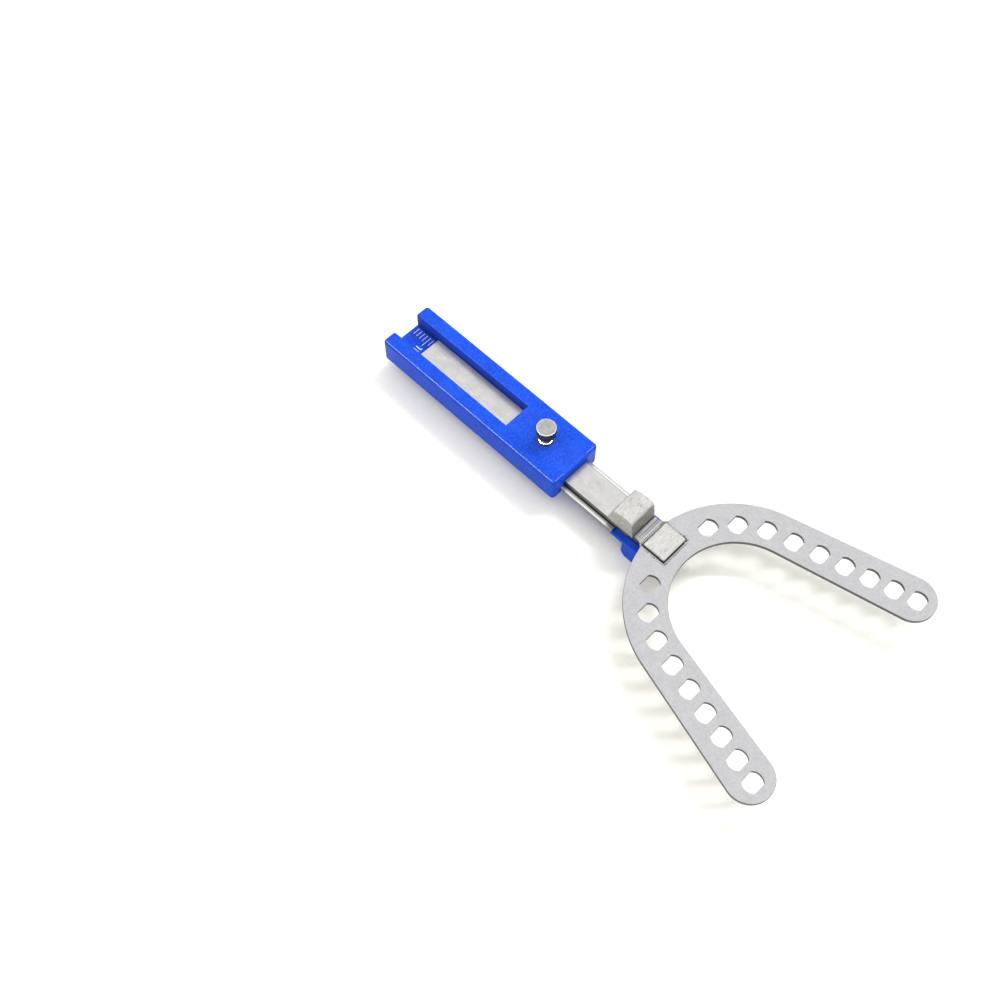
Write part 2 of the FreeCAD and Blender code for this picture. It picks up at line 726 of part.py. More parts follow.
def digit_strokes(name, low_x, high_y, strokes):
    """Strokes of one digit. Its top points along +X and its left side along +Y."""
    stroke = cell("digit_stroke")
    tall = cell("digit_height")
    wide = cell("digit_width")
    half = "(%s - %s) / 2" % (tall, stroke)
    low_y = "%s - %s" % (high_y, wide)
    layout = {
        "top": (low_x + " + " + tall + " - " + stroke, low_y, stroke, wide),
        "middle": (low_x + " + " + half, low_y, stroke, wide),
        "bottom": (low_x, low_y, stroke, wide),
        "left": (low_x, high_y + " - " + stroke, tall, stroke),
        "right": (low_x, low_y, tall, stroke),
        "upper_left": (low_x + " + " + half, high_y + " - " + stroke, half + " + " + stroke, stroke),
        "lower_right": (low_x, low_y, half + " + " + stroke, stroke),
    }
    return [make_mark(name + "_" + part, *layout[part]) for part in strokes]


def fuse(name, marks):
    fused = doc.addObject("Part::MultiFuse", name)
    fused.Shapes = marks
    return fused


def make_digits():
    numerals = []
    for number in (5, 10):
        middle = "-%s - %s * %d" % (cell("scale_zero"), cell("tick_gap"), number)
        low_x = "%s - %s / 2" % (middle, cell("digit_height"))
        left = cell("digit_edge")
        second = "%s - %s - %s" % (left, cell("digit_stroke"), cell("digit_gap"))
        if number == 5:
            five = ["top", "upper_left", "middle", "lower_right", "bottom"]
            numerals.append(fuse("five", digit_strokes("five", low_x, left, five)))
        else:
            stem = make_mark("one_stem", low_x, "%s - %s" % (left, cell("digit_stroke")),
                             cell("digit_height"), cell("digit_stroke"))
            flag_x = "%s + %s - %s" % (low_x, cell("digit_height"), cell("digit_stroke"))
            flag = make_mark("one_flag", flag_x, left, cell("digit_stroke"), cell("digit_flag"))
            numerals.append(fuse("one", [stem, flag]))
            zero = ["top", "left", "right", "bottom"]
            numerals.append(fuse("zero", digit_strokes("zero", low_x, second, zero)))
    digits = doc.addObject("Part::Compound", "scale_digits")
    digits.Links = numerals
    digits.Label = "scale_digits"
    return digits


def check(pieces):
    doc.recompute()
    for item in doc.Objects:
        if "Invalid" in item.State or "Error" in item.State:
            raise RuntimeError("failed object: %s %s" % (item.Name, item.State))
    for piece in pieces:
        if piece.Shape.isNull() or not piece.Shape.isValid():
            raise RuntimeError("bad shape: " + piece.Label)


def export(pieces):
    os.makedirs("parts", exist_ok=True)
    for piece in pieces:
        piece.Shape.exportStep("parts/%s.step" % piece.Label)
        box = piece.Shape.BoundBox
        print("%-14s solids %d volume %8.2f  x %.2f %.2f  y %.2f %.2f  z %.2f %.2f" % (
            piece.Label, len(piece.Shape.Solids), piece.Shape.Volume, box.XMin, box.XMax,
            box.YMin, box.YMax, box.ZMin, box.ZMax))


fill_sheet()
subparts = [make_handle(), make_ticks(), make_digits()]
subparts += make_screw_sets()
subparts += [make_bar(), make_labial_block(), make_lingual_block(), make_plate(), make_clamp()]
check(subparts)
export(subparts)
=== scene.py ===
import math

import bmesh
import bpy
from mathutils import Matrix, Vector, noise


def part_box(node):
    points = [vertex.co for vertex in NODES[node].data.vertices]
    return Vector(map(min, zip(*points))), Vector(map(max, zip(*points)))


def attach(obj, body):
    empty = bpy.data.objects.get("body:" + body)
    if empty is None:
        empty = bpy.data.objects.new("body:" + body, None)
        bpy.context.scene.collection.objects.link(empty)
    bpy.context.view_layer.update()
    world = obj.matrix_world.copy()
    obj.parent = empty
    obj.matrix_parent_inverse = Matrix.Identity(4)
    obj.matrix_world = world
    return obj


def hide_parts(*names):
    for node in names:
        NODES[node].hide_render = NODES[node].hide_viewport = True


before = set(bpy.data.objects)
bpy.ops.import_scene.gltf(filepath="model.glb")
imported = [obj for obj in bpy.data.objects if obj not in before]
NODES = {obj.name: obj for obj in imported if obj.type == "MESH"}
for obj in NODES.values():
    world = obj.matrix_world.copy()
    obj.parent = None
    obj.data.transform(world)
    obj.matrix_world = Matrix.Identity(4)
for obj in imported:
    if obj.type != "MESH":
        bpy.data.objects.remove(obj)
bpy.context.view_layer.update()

# Looks for the bite gauge: satin steel fork, glossy blue moulded handle with a printed scale,
# turned and knurled thumb screws. Lengths are in metres, except where a comment says millimetres.

MM = 0.001
TURN = 2 * math.pi
UP = Vector((0, 0, 1))
MERGE_DISTANCE = 0.0005 * MM


# Materials -----------------------------------------------------------------------------------

class Graph:
    """One material's node tree. Each call adds a node and gives its output socket."""

    def __init__(self, name):
        self.material = bpy.data.materials.new(name)
        self.material.use_nodes = True
        self.tree = self.material.node_tree
        self.shader = self.tree.nodes["Principled BSDF"]

    def node(self, kind, inputs=(), **settings):
        made = self.tree.nodes.new(kind)
        for key, value in settings.items():
            setattr(made, key, value)
        for key, value in dict(inputs).items():
            self.feed(made.inputs[key], value)
        return made

    def feed(self, socket, value):
        if isinstance(value, bpy.types.NodeSocket):
            self.tree.links.new(value, socket)
        else:
            socket.default_value = value

    def set(self, **sockets):
        """Feed the shader's own sockets, such as base_color=(...) for Base Color."""
        for key, value in sockets.items():
            name = key.replace("_", " ").title().replace("Ior", "IOR")
            self.feed(self.shader.inputs[name], value)

    def position(self, stretch=(1, 1, 1)):
        """Place on the object in millimetres, with each axis scaled by stretch."""
        coords = self.node("ShaderNodeTexCoord").outputs["Object"]
        factors = tuple(s / MM for s in stretch)
        return self.node("ShaderNodeVectorMath", {0: coords, 1: factors}, operation="MULTIPLY").outputs[0]

    def noise(self, vector, scale, detail=2.0, roughness=0.5):
        inputs = {"Vector": vector, "Scale": scale, "Detail": detail, "Roughness": roughness}
        return self.node("ShaderNodeTexNoise", inputs).outputs["Fac"]

    def remap(self, value, low, high, to_low=0.0, to_high=1.0):
        inputs = {"Value": value, "From Min": low, "From Max": high, "To Min": to_low, "To Max": to_high}
        return self.node("ShaderNodeMapRange", inputs).outputs["Result"]

    def math(self, operation, a, b=0.0):
        return self.node("ShaderNodeMath", {0: a, 1: b}, operation=operation).outputs[0]

    def mix(self, factor, a, b):
        made = self.node("ShaderNodeMix", data_type="RGBA")
        for key, value in ((0, factor), (6, a), (7, b)):
            self.feed(made.inputs[key], value)
        return made.outputs[2]

    def bump(self, height, distance, strength=1.0, over=None):
        inputs = {"Height": height, "Distance": distance, "Strength": strength}
        if over is not None:
            inputs["Normal"] = over
        return self.node("ShaderNodeBump", inputs).outputs["Normal"]

    def axis_of(self, vector, axis):
        return self.node("ShaderNodeSeparateXYZ", {0: vector}).outputs[axis]

    def upright(self, low=0.25, high=0.55):
        """1 on walls that stand upright, 0 on faces that look up or down."""
        normal = self.node("ShaderNodeTexCoord").outputs["Normal"]
        return self.remap(self.math("ABSOLUTE", self.axis_of(normal, 2)), low, high, 1.0, 0.0)

    def between(self, value, low, high, soft):
        """1 inside a range of values, falling to 0 over a soft margin at each end."""
        rise = self.remap(value, low - soft, low + soft)
        return self.math("MULTIPLY", rise, self.remap(value, high - soft, high + soft, 1.0, 0.0))


def colour(red, green, blue):
    return (red, green, blue, 1.0)


def blue_plastic():
    g = Graph("blue_plastic")
    place = g.position()
    grain = g.noise(place, 3.2, detail=3.0, roughness=0.6)
    cloud = g.noise(place, 0.16, detail=2.0)
    base = g.mix(g.remap(cloud, 0.35, 0.65), colour(0.0093, 0.052, 0.452), colour(0.0095, 0.064, 0.542))
    speckle = g.noise(place, 2.4, detail=3.0, roughness=0.8)
    base = g.mix(g.remap(speckle, 0.54, 0.66, 0.0, 0.6), base, colour(0.012, 0.13, 0.86))
    base = g.mix(g.remap(speckle, 0.34, 0.46, 0.6, 0.0), base, colour(0.0006, 0.022, 0.26))
    # painted shade: upright walls turn a darker, deeper blue
    base = g.mix(g.math("MULTIPLY", g.upright(), 0.6), base, colour(0.0, 0.047, 0.47))
    # painted shade: the channel's walls darken towards its floor
    height = g.axis_of(place, 2)
    channel_half = BAR_HALF + 0.3
    channel_shade_height = 3.2
    inside = g.between(g.axis_of(place, 1), -channel_half, channel_half, 0.1)
    channel_shade = g.math("MULTIPLY", g.math("MULTIPLY", g.upright(), inside),
                   g.remap(height, CHANNEL_FLOOR, CHANNEL_FLOOR + channel_shade_height, 0.85, 0.0))
    base = g.mix(channel_shade, base, colour(0.0015, 0.006, 0.05))
    ripple = g.noise(place, 1.3, detail=2.0)
    texture = g.bump(ripple, 0.05 * MM, 0.35, over=g.bump(grain, 0.03 * MM, 0.6))
    polish = g.remap(grain, 0.3, 0.7, 0.14, 0.34)
    g.set(base_color=base, roughness=g.math("MAXIMUM", polish, g.math("MULTIPLY", inside, 0.6)))
    g.set(normal=texture, specular_ior_level=0.06)
    return g.material


def ink():
    g = Graph("scale_ink")
    wear = g.noise(g.position(), 7.0, detail=3.0)
    base = g.mix(g.remap(wear, 0.42, 0.66), colour(0.80, 0.85, 0.93), colour(0.34, 0.46, 0.78))
    g.set(base_color=base, roughness=g.remap(wear, 0.3, 0.7, 0.45, 0.65))
    return g.material


def satin_plate():
    g = Graph("plate_steel")
    place = g.position()
    fine = g.noise(place, 5.5, detail=4.0, roughness=0.7)
    cloud = g.noise(place, 0.35, detail=3.0)
    base = g.mix(g.remap(cloud, 0.35, 0.7), colour(0.478, 0.474, 0.490), colour(0.515, 0.510, 0.522))
    base = g.mix(g.remap(fine, 0.42, 0.70, 0.0, 0.75), base, colour(0.36, 0.357, 0.375))
    blotch = g.noise(place, 1.9, detail=4.0, roughness=0.8)
    base = g.mix(g.remap(blotch, 0.50, 0.68, 0.0, 0.30), base, colour(0.66, 0.655, 0.67))
    base = g.mix(g.remap(blotch, 0.32, 0.48, 0.35, 0.0), base, colour(0.33, 0.325, 0.35))
    # file marks across the neck, between the two blocks
    across = g.noise(g.position((2.2, 0.05, 1.0)), 1.0, detail=2.0)
    neck = g.between(g.axis_of(place, 0), NECK_LOW, NECK_HIGH, 0.2)
    marks = g.math("MULTIPLY", g.remap(across, 0.50, 0.60, 0.0, 0.75), neck)
    base = g.mix(marks, base, colour(0.12, 0.12, 0.12))
    # painted shade: upright walls, slot walls and the edge bevels turn dark
    base = g.mix(g.upright(0.75, 0.995), base, colour(0.12, 0.118, 0.12))
    g.set(base_color=base, metallic=1.0, roughness=g.remap(fine, 0.3, 0.7, 0.36, 0.50))
    g.set(normal=g.bump(fine, 0.02 * MM, 0.5))
    return g.material


def brushed_bar():
    g = Graph("bar_steel")
    place = g.position()
    brushed = g.noise(g.position((0.12, 9.0, 9.0)), 1.0, detail=4.0, roughness=0.65)
    scratch = g.noise(g.position((0.25, 4.0, 4.0)), 1.0, detail=1.0)
    cloud = g.noise(place, 0.45, detail=2.0)
    mottle = g.noise(place, 3.4, detail=3.0, roughness=0.6)
    base = g.mix(g.remap(cloud, 0.3, 0.7), colour(0.47, 0.46, 0.455), colour(0.55, 0.54, 0.525))
    base = g.mix(g.remap(brushed, 0.5, 0.8, 0.0, 0.45), base, colour(0.37, 0.365, 0.36))
    base = g.mix(g.remap(mottle, 0.52, 0.72, 0.0, 0.45), base, colour(0.36, 0.355, 0.36))
    base = g.mix(g.remap(scratch, 0.66, 0.70, 0.0, 0.6), base, colour(0.75, 0.75, 0.75))
    # painted shade: a dark rim along both long edges, and dark walls below it
    edge = colour(0.11, 0.11, 0.112)
    side = g.math("ABSOLUTE", g.axis_of(place, 1))
    base = g.mix(g.remap(side, BAR_HALF - 0.16, BAR_HALF - 0.06, 0.0, 0.75), base, edge)
    base = g.mix(g.upright(), base, edge)
    g.set(base_color=base, metallic=1.0, roughness=g.remap(brushed, 0.3, 0.7, 0.26, 0.40))
    g.set(normal=g.bump(brushed, 0.006 * MM, 0.6))
    return g.material


def polished_strip():
    g = Graph("strip_steel")
    brushed = g.noise(g.position((0.10, 7.0, 7.0)), 1.0, detail=3.0)
    base = g.mix(g.remap(brushed, 0.35, 0.7), colour(0.68, 0.68, 0.67), colour(0.60, 0.595, 0.59))
    # painted shade: a dark band beside the bar as its shadow on the strip, a dark outer rim, and darker
    # upright walls
    side = g.math("ABSOLUTE", g.axis_of(g.position(), 1))
    bar_shadow = g.remap(side, BAR_HALF + 0.10, BAR_HALF + 0.32, 0.96, 0.0)
    base = g.mix(bar_shadow, base, colour(0.02, 0.02, 0.02))
    rim = g.remap(side, STRIP_HALF - 0.22, STRIP_HALF - 0.12, 0.0, 0.9)
    base = g.mix(rim, base, colour(0.05, 0.05, 0.05))
    base = g.mix(g.upright(), base, colour(0.30, 0.30, 0.30))
    g.set(base_color=base, metallic=1.0, roughness=g.remap(brushed, 0.3, 0.7, 0.22, 0.32))
    g.set(normal=g.bump(brushed, 0.002 * MM, 0.4))
    return g.material


def cast_block(name, seat):
    """Cast steel with a ground top, and painted shade where it meets the seat at that height."""
    g = Graph(name)
    place = g.position()
    grain = g.noise(place, 3.0, detail=4.0, roughness=0.7)
    strokes = g.noise(g.position((2.6, 2.6, 1.6)), 1.0, detail=4.0, roughness=0.7)
    patch = g.noise(place, 0.9, detail=2.0)
    facing = g.axis_of(g.node("ShaderNodeTexCoord").outputs["Normal"], 2)
    # faces that look up take the ground colour and walls the darker cast colour: partly the real change
    # of finish, partly painted shade as faces turn away from up
    ground_top_and_shade = g.remap(facing, 0.50, 0.95)
    rough_cast = g.mix(g.remap(strokes, 0.38, 0.62), colour(0.34, 0.325, 0.30), colour(0.45, 0.435, 0.41))
    bright = g.mix(g.remap(patch, 0.35, 0.7), colour(0.51, 0.505, 0.49), colour(0.58, 0.575, 0.56))
    bright = g.mix(g.remap(grain, 0.55, 0.75, 0.0, 0.55), bright, colour(0.34, 0.33, 0.32))
    base = g.mix(ground_top_and_shade, rough_cast, bright)
    # dark pores here and there
    pores = g.remap(g.noise(place, 0.9, detail=4.0, roughness=0.8), 0.66, 0.72)
    base = g.mix(g.math("MULTIPLY", pores, 0.85), base, colour(0.08, 0.075, 0.07))
    # long scratches and hammer marks across the ground top
    marks = g.noise(g.position((3.2, 0.7, 1.5)), 1.0, detail=3.0, roughness=0.7)
    base = g.mix(g.remap(marks, 0.58, 0.66, 0.0, 0.55), base, colour(0.20, 0.19, 0.18))
    base = g.mix(g.remap(marks, 0.36, 0.42, 0.5, 0.0), base, colour(0.74, 0.73, 0.72))
    # painted shade: a dark outline where the block meets its seat
    seat_shade_height = 0.5
    seat_shade = g.remap(g.axis_of(place, 2), seat, seat + seat_shade_height, 0.95, 0.0)
    base = g.mix(g.math("MULTIPLY", seat_shade, g.upright(0.5, 0.8)), base, colour(0.03, 0.03, 0.03))
    g.set(base_color=base, metallic=1.0)
    g.set(roughness=g.remap(ground_top_and_shade, 0.0, 1.0, 0.50, 0.34), normal=g.bump(grain, 0.05 * MM, 0.6))
    return g.material


def turned_steel(name, base_low, base_high, centre):
    """Steel faced on a lathe: fine rings round the screw's axis."""
    g = Graph(name)
    place = g.position()
    offset = tuple(-c / MM for c in centre)
    radial = g.node("ShaderNodeVectorMath", {0: place, 1: offset}, operation="ADD").outputs[0]
    flat = g.node("ShaderNodeVectorMath", {0: radial, 1: (1, 1, 0)}, operation="MULTIPLY").outputs[0]
    radius = g.node("ShaderNodeVectorMath", {0: flat}, operation="LENGTH").outputs["Value"]
    rings = g.noise(g.node("ShaderNodeCombineXYZ", {0: radius}).outputs[0], 9.0, detail=3.0)
    stain = g.noise(place, 1.1, detail=2.0)
    base = g.mix(g.remap(stain, 0.35, 0.65), colour(*base_low), colour(*base_high))
    g.set(base_color=base, metallic=1.0, roughness=g.remap(rings, 0.3, 0.7, 0.24, 0.38))
    g.set(normal=g.bump(rings, 0.01 * MM, 0.6))
    return g.material


def dark_knurl():
    """Knurled steel coloured dark all over: painted shade and dark reflection on the screws' sides."""
    g = Graph("knurled_steel")
    place = g.position()
    stain = g.noise(place, 2.6, detail=3.0)
    base = g.mix(g.remap(stain, 0.35, 0.7), colour(0.035, 0.033, 0.040), colour(0.11, 0.107, 0.11))
    g.set(base_color=base, metallic=0.85, roughness=g.remap(stain, 0.3, 0.7, 0.30, 0.45))
    g.set(normal=g.bump(stain, 0.02 * MM, 0.5))
    return g.material


def weld_metal():
    g = Graph("weld_steel")
    place = g.position()
    lumps = g.noise(place, 4.0, detail=3.0)
    base = g.mix(g.remap(lumps, 0.35, 0.65), colour(0.05, 0.05, 0.05), colour(0.75, 0.74, 0.73))
    g.set(base_color=base, metallic=1.0, roughness=g.remap(lumps, 0.3, 0.7, 0.32, 0.55))
    g.set(normal=g.bump(lumps, 0.03 * MM, 0.6))
    return g.material


def dress(node, material):
    for slot in NODES[node].material_slots:
        slot.material = material


# Places on the frame that the materials use, in millimetres
BEAD_MARGIN = 0.5
BAR_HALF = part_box("fork_bar")[1].y / MM
CHANNEL_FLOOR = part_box("scale_ticks")[0].z / MM
STRIP_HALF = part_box("clamp_strip")[1].y / MM
BAR_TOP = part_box("fork_bar")[1].z / MM
PLATE_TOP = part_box("fork_plate")[1].z / MM
NECK_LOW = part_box("labial_block")[1].x / MM
NECK_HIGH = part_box("lingual_block")[0].x / MM - BEAD_MARGIN

# The axis that both thumb screws share, in metres
SCREW_AT = sum(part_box("upper_insert"), Vector()) / 2
SCREW_AXIS = (SCREW_AT.x, SCREW_AT.y, 0)

dress("handle", blue_plastic())
INK = ink()
dress("scale_ticks", INK)
dress("scale_digits", INK)
dress("fork_plate", satin_plate())
dress("fork_bar", brushed_bar())
dress("clamp_strip", polished_strip())
SCREW = turned_steel("screw_steel", (0.27, 0.268, 0.262), (0.34, 0.335, 0.33), SCREW_AXIS)
# painted highlight: bright rings on the screws' collars and on the upper head's rim
HIGHLIGHT_STEEL = turned_steel("highlight_steel", (0.70, 0.69, 0.68), (0.78, 0.77, 0.76), SCREW_AXIS)
KNURL = dark_knurl()
# painted shade: the inserts are coloured dark, standing in for the shade round the knob's foot
INSERT = turned_steel("insert_steel", (0.09, 0.09, 0.10), (0.16, 0.16, 0.17), SCREW_AXIS)
dress("upper_insert", INSERT)
dress("lower_insert", INSERT)
PAD = turned_steel("pad_brass", (0.66, 0.46, 0.17), (0.74, 0.54, 0.24), SCREW_AXIS)
dress("upper_pad", PAD)
dress("lower_pad", PAD)


# Pieces that stand for plain CAD solids --------------------------------------------------------

STEEL_ZONE, KNURL_ZONE, HIGHLIGHT_ZONE = range(3)
SEGMENTS = 224
RIDGES = 28
KNURL_DEPTH = 0.15 * MM
THREAD_PITCH = 0.45 * MM
THREAD_DEPTH = 0.14 * MM
THREAD_STEPS = 6
STUD_RADIUS = 1.25 * MM
STUD_GAP = 0.01 * MM
FACING_CORE = 0.12 * MM
FACING_RINGS = 15
FACING_DEPTH = 0.006 * MM
FACING_SINK = 0.05 * MM


def finish_piece(name, bm, materials, body, nodes, sharp=32):
    """Turn a bmesh into a smooth-shaded piece that rides on a body, in place of any CAD nodes."""
    mesh = bpy.data.meshes.new(name)
    bmesh.ops.recalc_face_normals(bm, faces=bm.faces)
    bm.to_mesh(mesh)
    bm.free()
    mesh.shade_smooth()
    mesh.set_sharp_from_angle(angle=math.radians(sharp))
    for material in materials:
        mesh.materials.append(material)
    piece = bpy.data.objects.new(name, mesh)
    bpy.context.scene.collection.objects.link(piece)
    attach(piece, body)
    if nodes:
        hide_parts(*nodes)
    return piece


def saw(phase):
    """A triangle wave: 0 at whole numbers, 1 halfway between them."""
    return 1 - abs(2 * (phase % 1) - 1)


def lathe(name, rows, body, node):
    """Piece turned round the screw axis from rows of (height, radius, zone), lowest row first.

    A radius may be a function of the angle and the height, as on a knurl or a thread.
    """
    bm = bmesh.new()
    rings = []
    for height, radius, zone in rows:
        ring = []
        for step in range(SEGMENTS):
            angle = TURN * step / SEGMENTS
            reach = radius(angle, height) if callable(radius) else radius
            ring.append(bm.verts.new((SCREW_AT.x + reach * math.cos(angle),
                                      SCREW_AT.y + reach * math.sin(angle), height)))
        rings.append((ring, zone))
    for (low, _), (high, zone) in zip(rings, rings[1:]):
        for here in range(SEGMENTS):
            there = (here + 1) % SEGMENTS
            face = bm.faces.new((low[here], low[there], high[there], high[here]))
            face.material_index = zone
    bm.faces.new(reversed(rings[0][0])).material_index = rings[0][1]
    bm.faces.new(rings[-1][0]).material_index = rings[-1][1]
    return finish_piece(name, bm, (SCREW, KNURL, HIGHLIGHT_STEEL), body, [node])


def knurled(radius):
    return lambda angle, height: radius - KNURL_DEPTH * saw(RIDGES * angle / TURN)


def threaded(radius):
    return lambda angle, height: radius - THREAD_DEPTH * saw(height / THREAD_PITCH - angle / TURN)


def thread_rows(low, high, radius):
    """Close rows along a threaded stud, cut back to the thread's root at each end."""
    steps = THREAD_STEPS * math.ceil((high - low) / THREAD_PITCH)
    cut = threaded(radius)
    rows = [(low + (high - low) * step / steps, cut, STEEL_ZONE) for step in range(1, steps)]
    root = radius - THREAD_DEPTH
    return [(low, root, STEEL_ZONE)] + rows + [(high, root, STEEL_ZONE)]


def faced_end(height, inner, outer, sink):
    """Rows of fine turning marks from one radius to another, on a face sunk below its rim."""
    rows = []
    for step in range(FACING_RINGS + 1):
        radius = inner + (outer - inner) * step / FACING_RINGS
        ripple = FACING_DEPTH * (step % 2)
        rows.append((height + sink + ripple * math.copysign(1, sink), radius, STEEL_ZONE))
    return rows


def upper_knob():
    """High knurled thumb screw: threaded stud, collar, neck, and a dished knurled head; the collar and
    the head's top rim are painted bright as highlights.
    """
    low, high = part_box("upper_screw")
    bottom, top = low.z, high.z
    head = (high.x - low.x) / 2
    clearance = 0.1 * MM
    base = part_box("upper_insert")[1].z + clearance
    shoulder = 1.75 * MM
    neck = 1.42 * MM
    neck_length = 1.7 * MM
    head_base = base + neck_length
    rim = 0.18 * MM
    rows = thread_rows(bottom, base - STUD_GAP, STUD_RADIUS)
    rows += [
        (base, shoulder - 0.16 * MM, KNURL_ZONE),
        (base + 0.05 * MM, shoulder - 0.05 * MM, KNURL_ZONE),
        (base + 0.10 * MM, shoulder, KNURL_ZONE),
        (base + 0.16 * MM, shoulder - 0.03 * MM, HIGHLIGHT_ZONE),
        (base + 0.21 * MM, shoulder - 0.10 * MM, HIGHLIGHT_ZONE),
        (base + 0.25 * MM, shoulder - 0.24 * MM, HIGHLIGHT_ZONE),
        (base + 0.28 * MM, neck, KNURL_ZONE),
        (head_base - 0.1 * MM, neck, KNURL_ZONE),
        (head_base, neck + 0.12 * MM, KNURL_ZONE),
        (head_base, head - 0.30 * MM, KNURL_ZONE),
        (head_base + 0.10 * MM, head - 0.16 * MM, KNURL_ZONE),
        (head_base + 0.24 * MM, knurled(head), KNURL_ZONE),
        (top - rim - 0.14 * MM, knurled(head), KNURL_ZONE),
        (top - rim - 0.04 * MM, head - 0.16 * MM, KNURL_ZONE),
        (top - rim, head - 0.14 * MM, STEEL_ZONE),
        (top - 0.6 * rim, head - 0.05 * MM, STEEL_ZONE),
        (top - 0.2 * rim, head - 0.06 * MM, HIGHLIGHT_ZONE),
        (top, head - 0.15 * MM, HIGHLIGHT_ZONE),
        (top, head - 0.20 * MM, STEEL_ZONE),
        (top - 0.03 * MM, head - 0.30 * MM, STEEL_ZONE),
    ]
    rows += reversed(faced_end(top, FACING_CORE, head - 0.36 * MM, -FACING_SINK))
    return lathe("upper_thumb_screw", rows, "upper_screw", "upper_screw")


def lower_knob():
    """Low knurled thumb screw whose flat end stands on the table."""
    low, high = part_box("lower_screw")
    bottom, top = low.z, high.z
    head = (high.x - low.x) / 2
    clearance = 0.25 * MM
    head_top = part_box("lower_insert")[0].z - clearance
    rows = faced_end(bottom, FACING_CORE, head - 0.55 * MM, FACING_SINK)
    rows += [
        (bottom, head - 0.48 * MM, HIGHLIGHT_ZONE),
        (bottom, head - 0.26 * MM, HIGHLIGHT_ZONE),
        (bottom + 0.05 * MM, head - 0.14 * MM, HIGHLIGHT_ZONE),
        (bottom + 0.16 * MM, head - 0.10 * MM, HIGHLIGHT_ZONE),
        (bottom + 0.22 * MM, head - 0.17 * MM, KNURL_ZONE),
        (bottom + 0.34 * MM, knurled(head), KNURL_ZONE),
        (head_top - 0.34 * MM, knurled(head), KNURL_ZONE),
        (head_top - 0.22 * MM, head - 0.17 * MM, KNURL_ZONE),
        (head_top - 0.16 * MM, head - 0.10 * MM, HIGHLIGHT_ZONE),
        (head_top - 0.05 * MM, head - 0.14 * MM, HIGHLIGHT_ZONE),
        (head_top, head - 0.26 * MM, HIGHLIGHT_ZONE),
        (head_top, 1.3 * MM, STEEL_ZONE),
    ]
    rows += thread_rows(head_top + STUD_GAP, top, STUD_RADIUS)
    return lathe("lower_thumb_screw", rows, "lower_screw", "lower_screw")


def remeshed(node, edge, voxel, passes):
    """A bmesh of a CAD solid with rounded edges, evenly divided into small faces."""
    mesh = NODES[node].data.copy()
    mesh.transform(NODES[node].matrix_world)
    bm = bmesh.new()
    bm.from_mesh(mesh)
    bmesh.ops.remove_doubles(bm, verts=bm.verts, dist=MERGE_DISTANCE)
    bm.to_mesh(mesh)
    bm.free()
    draft = bpy.data.objects.new("draft", mesh)
    bpy.context.scene.collection.objects.link(draft)
    bevel = draft.modifiers.new("edge", "BEVEL")
    bevel.width = edge
    bevel.segments = 4
    bevel.limit_method = "ANGLE"
    bevel.angle_limit = math.radians(40)
    grid = draft.modifiers.new("grid", "REMESH")
    grid.mode = "VOXEL"
    grid.voxel_size = voxel
    soften = draft.modifiers.new("soften", "SMOOTH")
    soften.iterations = passes
    depsgraph = bpy.context.evaluated_depsgraph_get()
    solid = bmesh.new()
    solid.from_mesh(bpy.data.meshes.new_from_object(draft.evaluated_get(depsgraph)))
    bpy.data.objects.remove(draft)
    return solid


def roughen(bm, node, wave, pits):
    """Move each vertex along its normal by layered noise, never outside the node's own box."""
    low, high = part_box(node)
    swell_scale, grain_scale, pit_scale = 0.55, 4.0, 1.7
    grain_share = 0.5
    pit_shift = Vector((7, 3, 5))
    pit_threshold = 0.38
    bm.normal_update()
    for vert in bm.verts:
        place = vert.co / MM
        swell = noise.noise(place * swell_scale) * wave
        grain = noise.noise(place * grain_scale) * wave * grain_share
        pit = max(0.0, noise.noise(place * pit_scale + pit_shift) - pit_threshold) * pits
        vert.co += vert.normal * (swell + grain - pit)
        vert.co = Vector([min(max(c, a), b) for c, a, b in zip(vert.co, low, high)])


def cast_piece(name, node, material, edge, voxel, passes, wave, pits):
    bm = remeshed(node, edge, voxel, passes)
    roughen(bm, node, wave, pits)
    finish_piece(name, bm, (material,), "fork", [node], sharp=60)


def weld_bead():
    """Uneven bead of weld metal on the plate, round the foot of the lingual block."""
    low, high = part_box("lingual_block")
    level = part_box("fork_plate")[1].z
    reach = 0.55 * MM
    size = (high - low) / 2 + Vector((reach, reach, 0))
    middle = (low + high) / 2
    steps, sides = 260, 8
    power = 0.16  # how square the bead's path is: 1 is an ellipse, 0 a rectangle
    wander_scale, wander_reach = 0.9, 0.10
    wander_shift = Vector((9, 0, 0))
    thick_scale, thin, mean, swing = 1.3, 0.03, 0.15, 0.24
    thick_shift = Vector((0, 4, 0))
    flatness = 0.8
    bm = bmesh.new()
    rings = []
    for step in range(steps):
        turn = TURN * step / steps
        x = math.copysign(abs(math.cos(turn)) ** power, math.cos(turn)) * size.x
        y = math.copysign(abs(math.sin(turn)) ** power, math.sin(turn)) * size.y
        spot = Vector((middle.x + x, middle.y + y, level))
        place = spot / MM
        shift_x = noise.noise(place * wander_scale)
        shift_y = noise.noise(place * wander_scale + wander_shift)
        spot += Vector((shift_x, shift_y, 0)) * wander_reach * MM
        thick = max(thin, mean + swing * noise.noise(place * thick_scale + thick_shift)) * MM
        outward = Vector((x / size.x, y / size.y, 0)).normalized()
        rings.append([bm.verts.new(spot + outward * thick * math.cos(TURN * side / sides)
                                   + UP * thick * flatness * math.sin(TURN * side / sides))
                      for side in range(sides)])
    for here, there in zip(rings, rings[1:] + rings[:1]):
        for side in range(sides):
            beyond = (side + 1) % sides
            bm.faces.new((here[side], here[beyond], there[beyond], there[side]))
    finish_piece("lingual_weld", bm, (weld_metal(),), "fork", [], sharp=80)


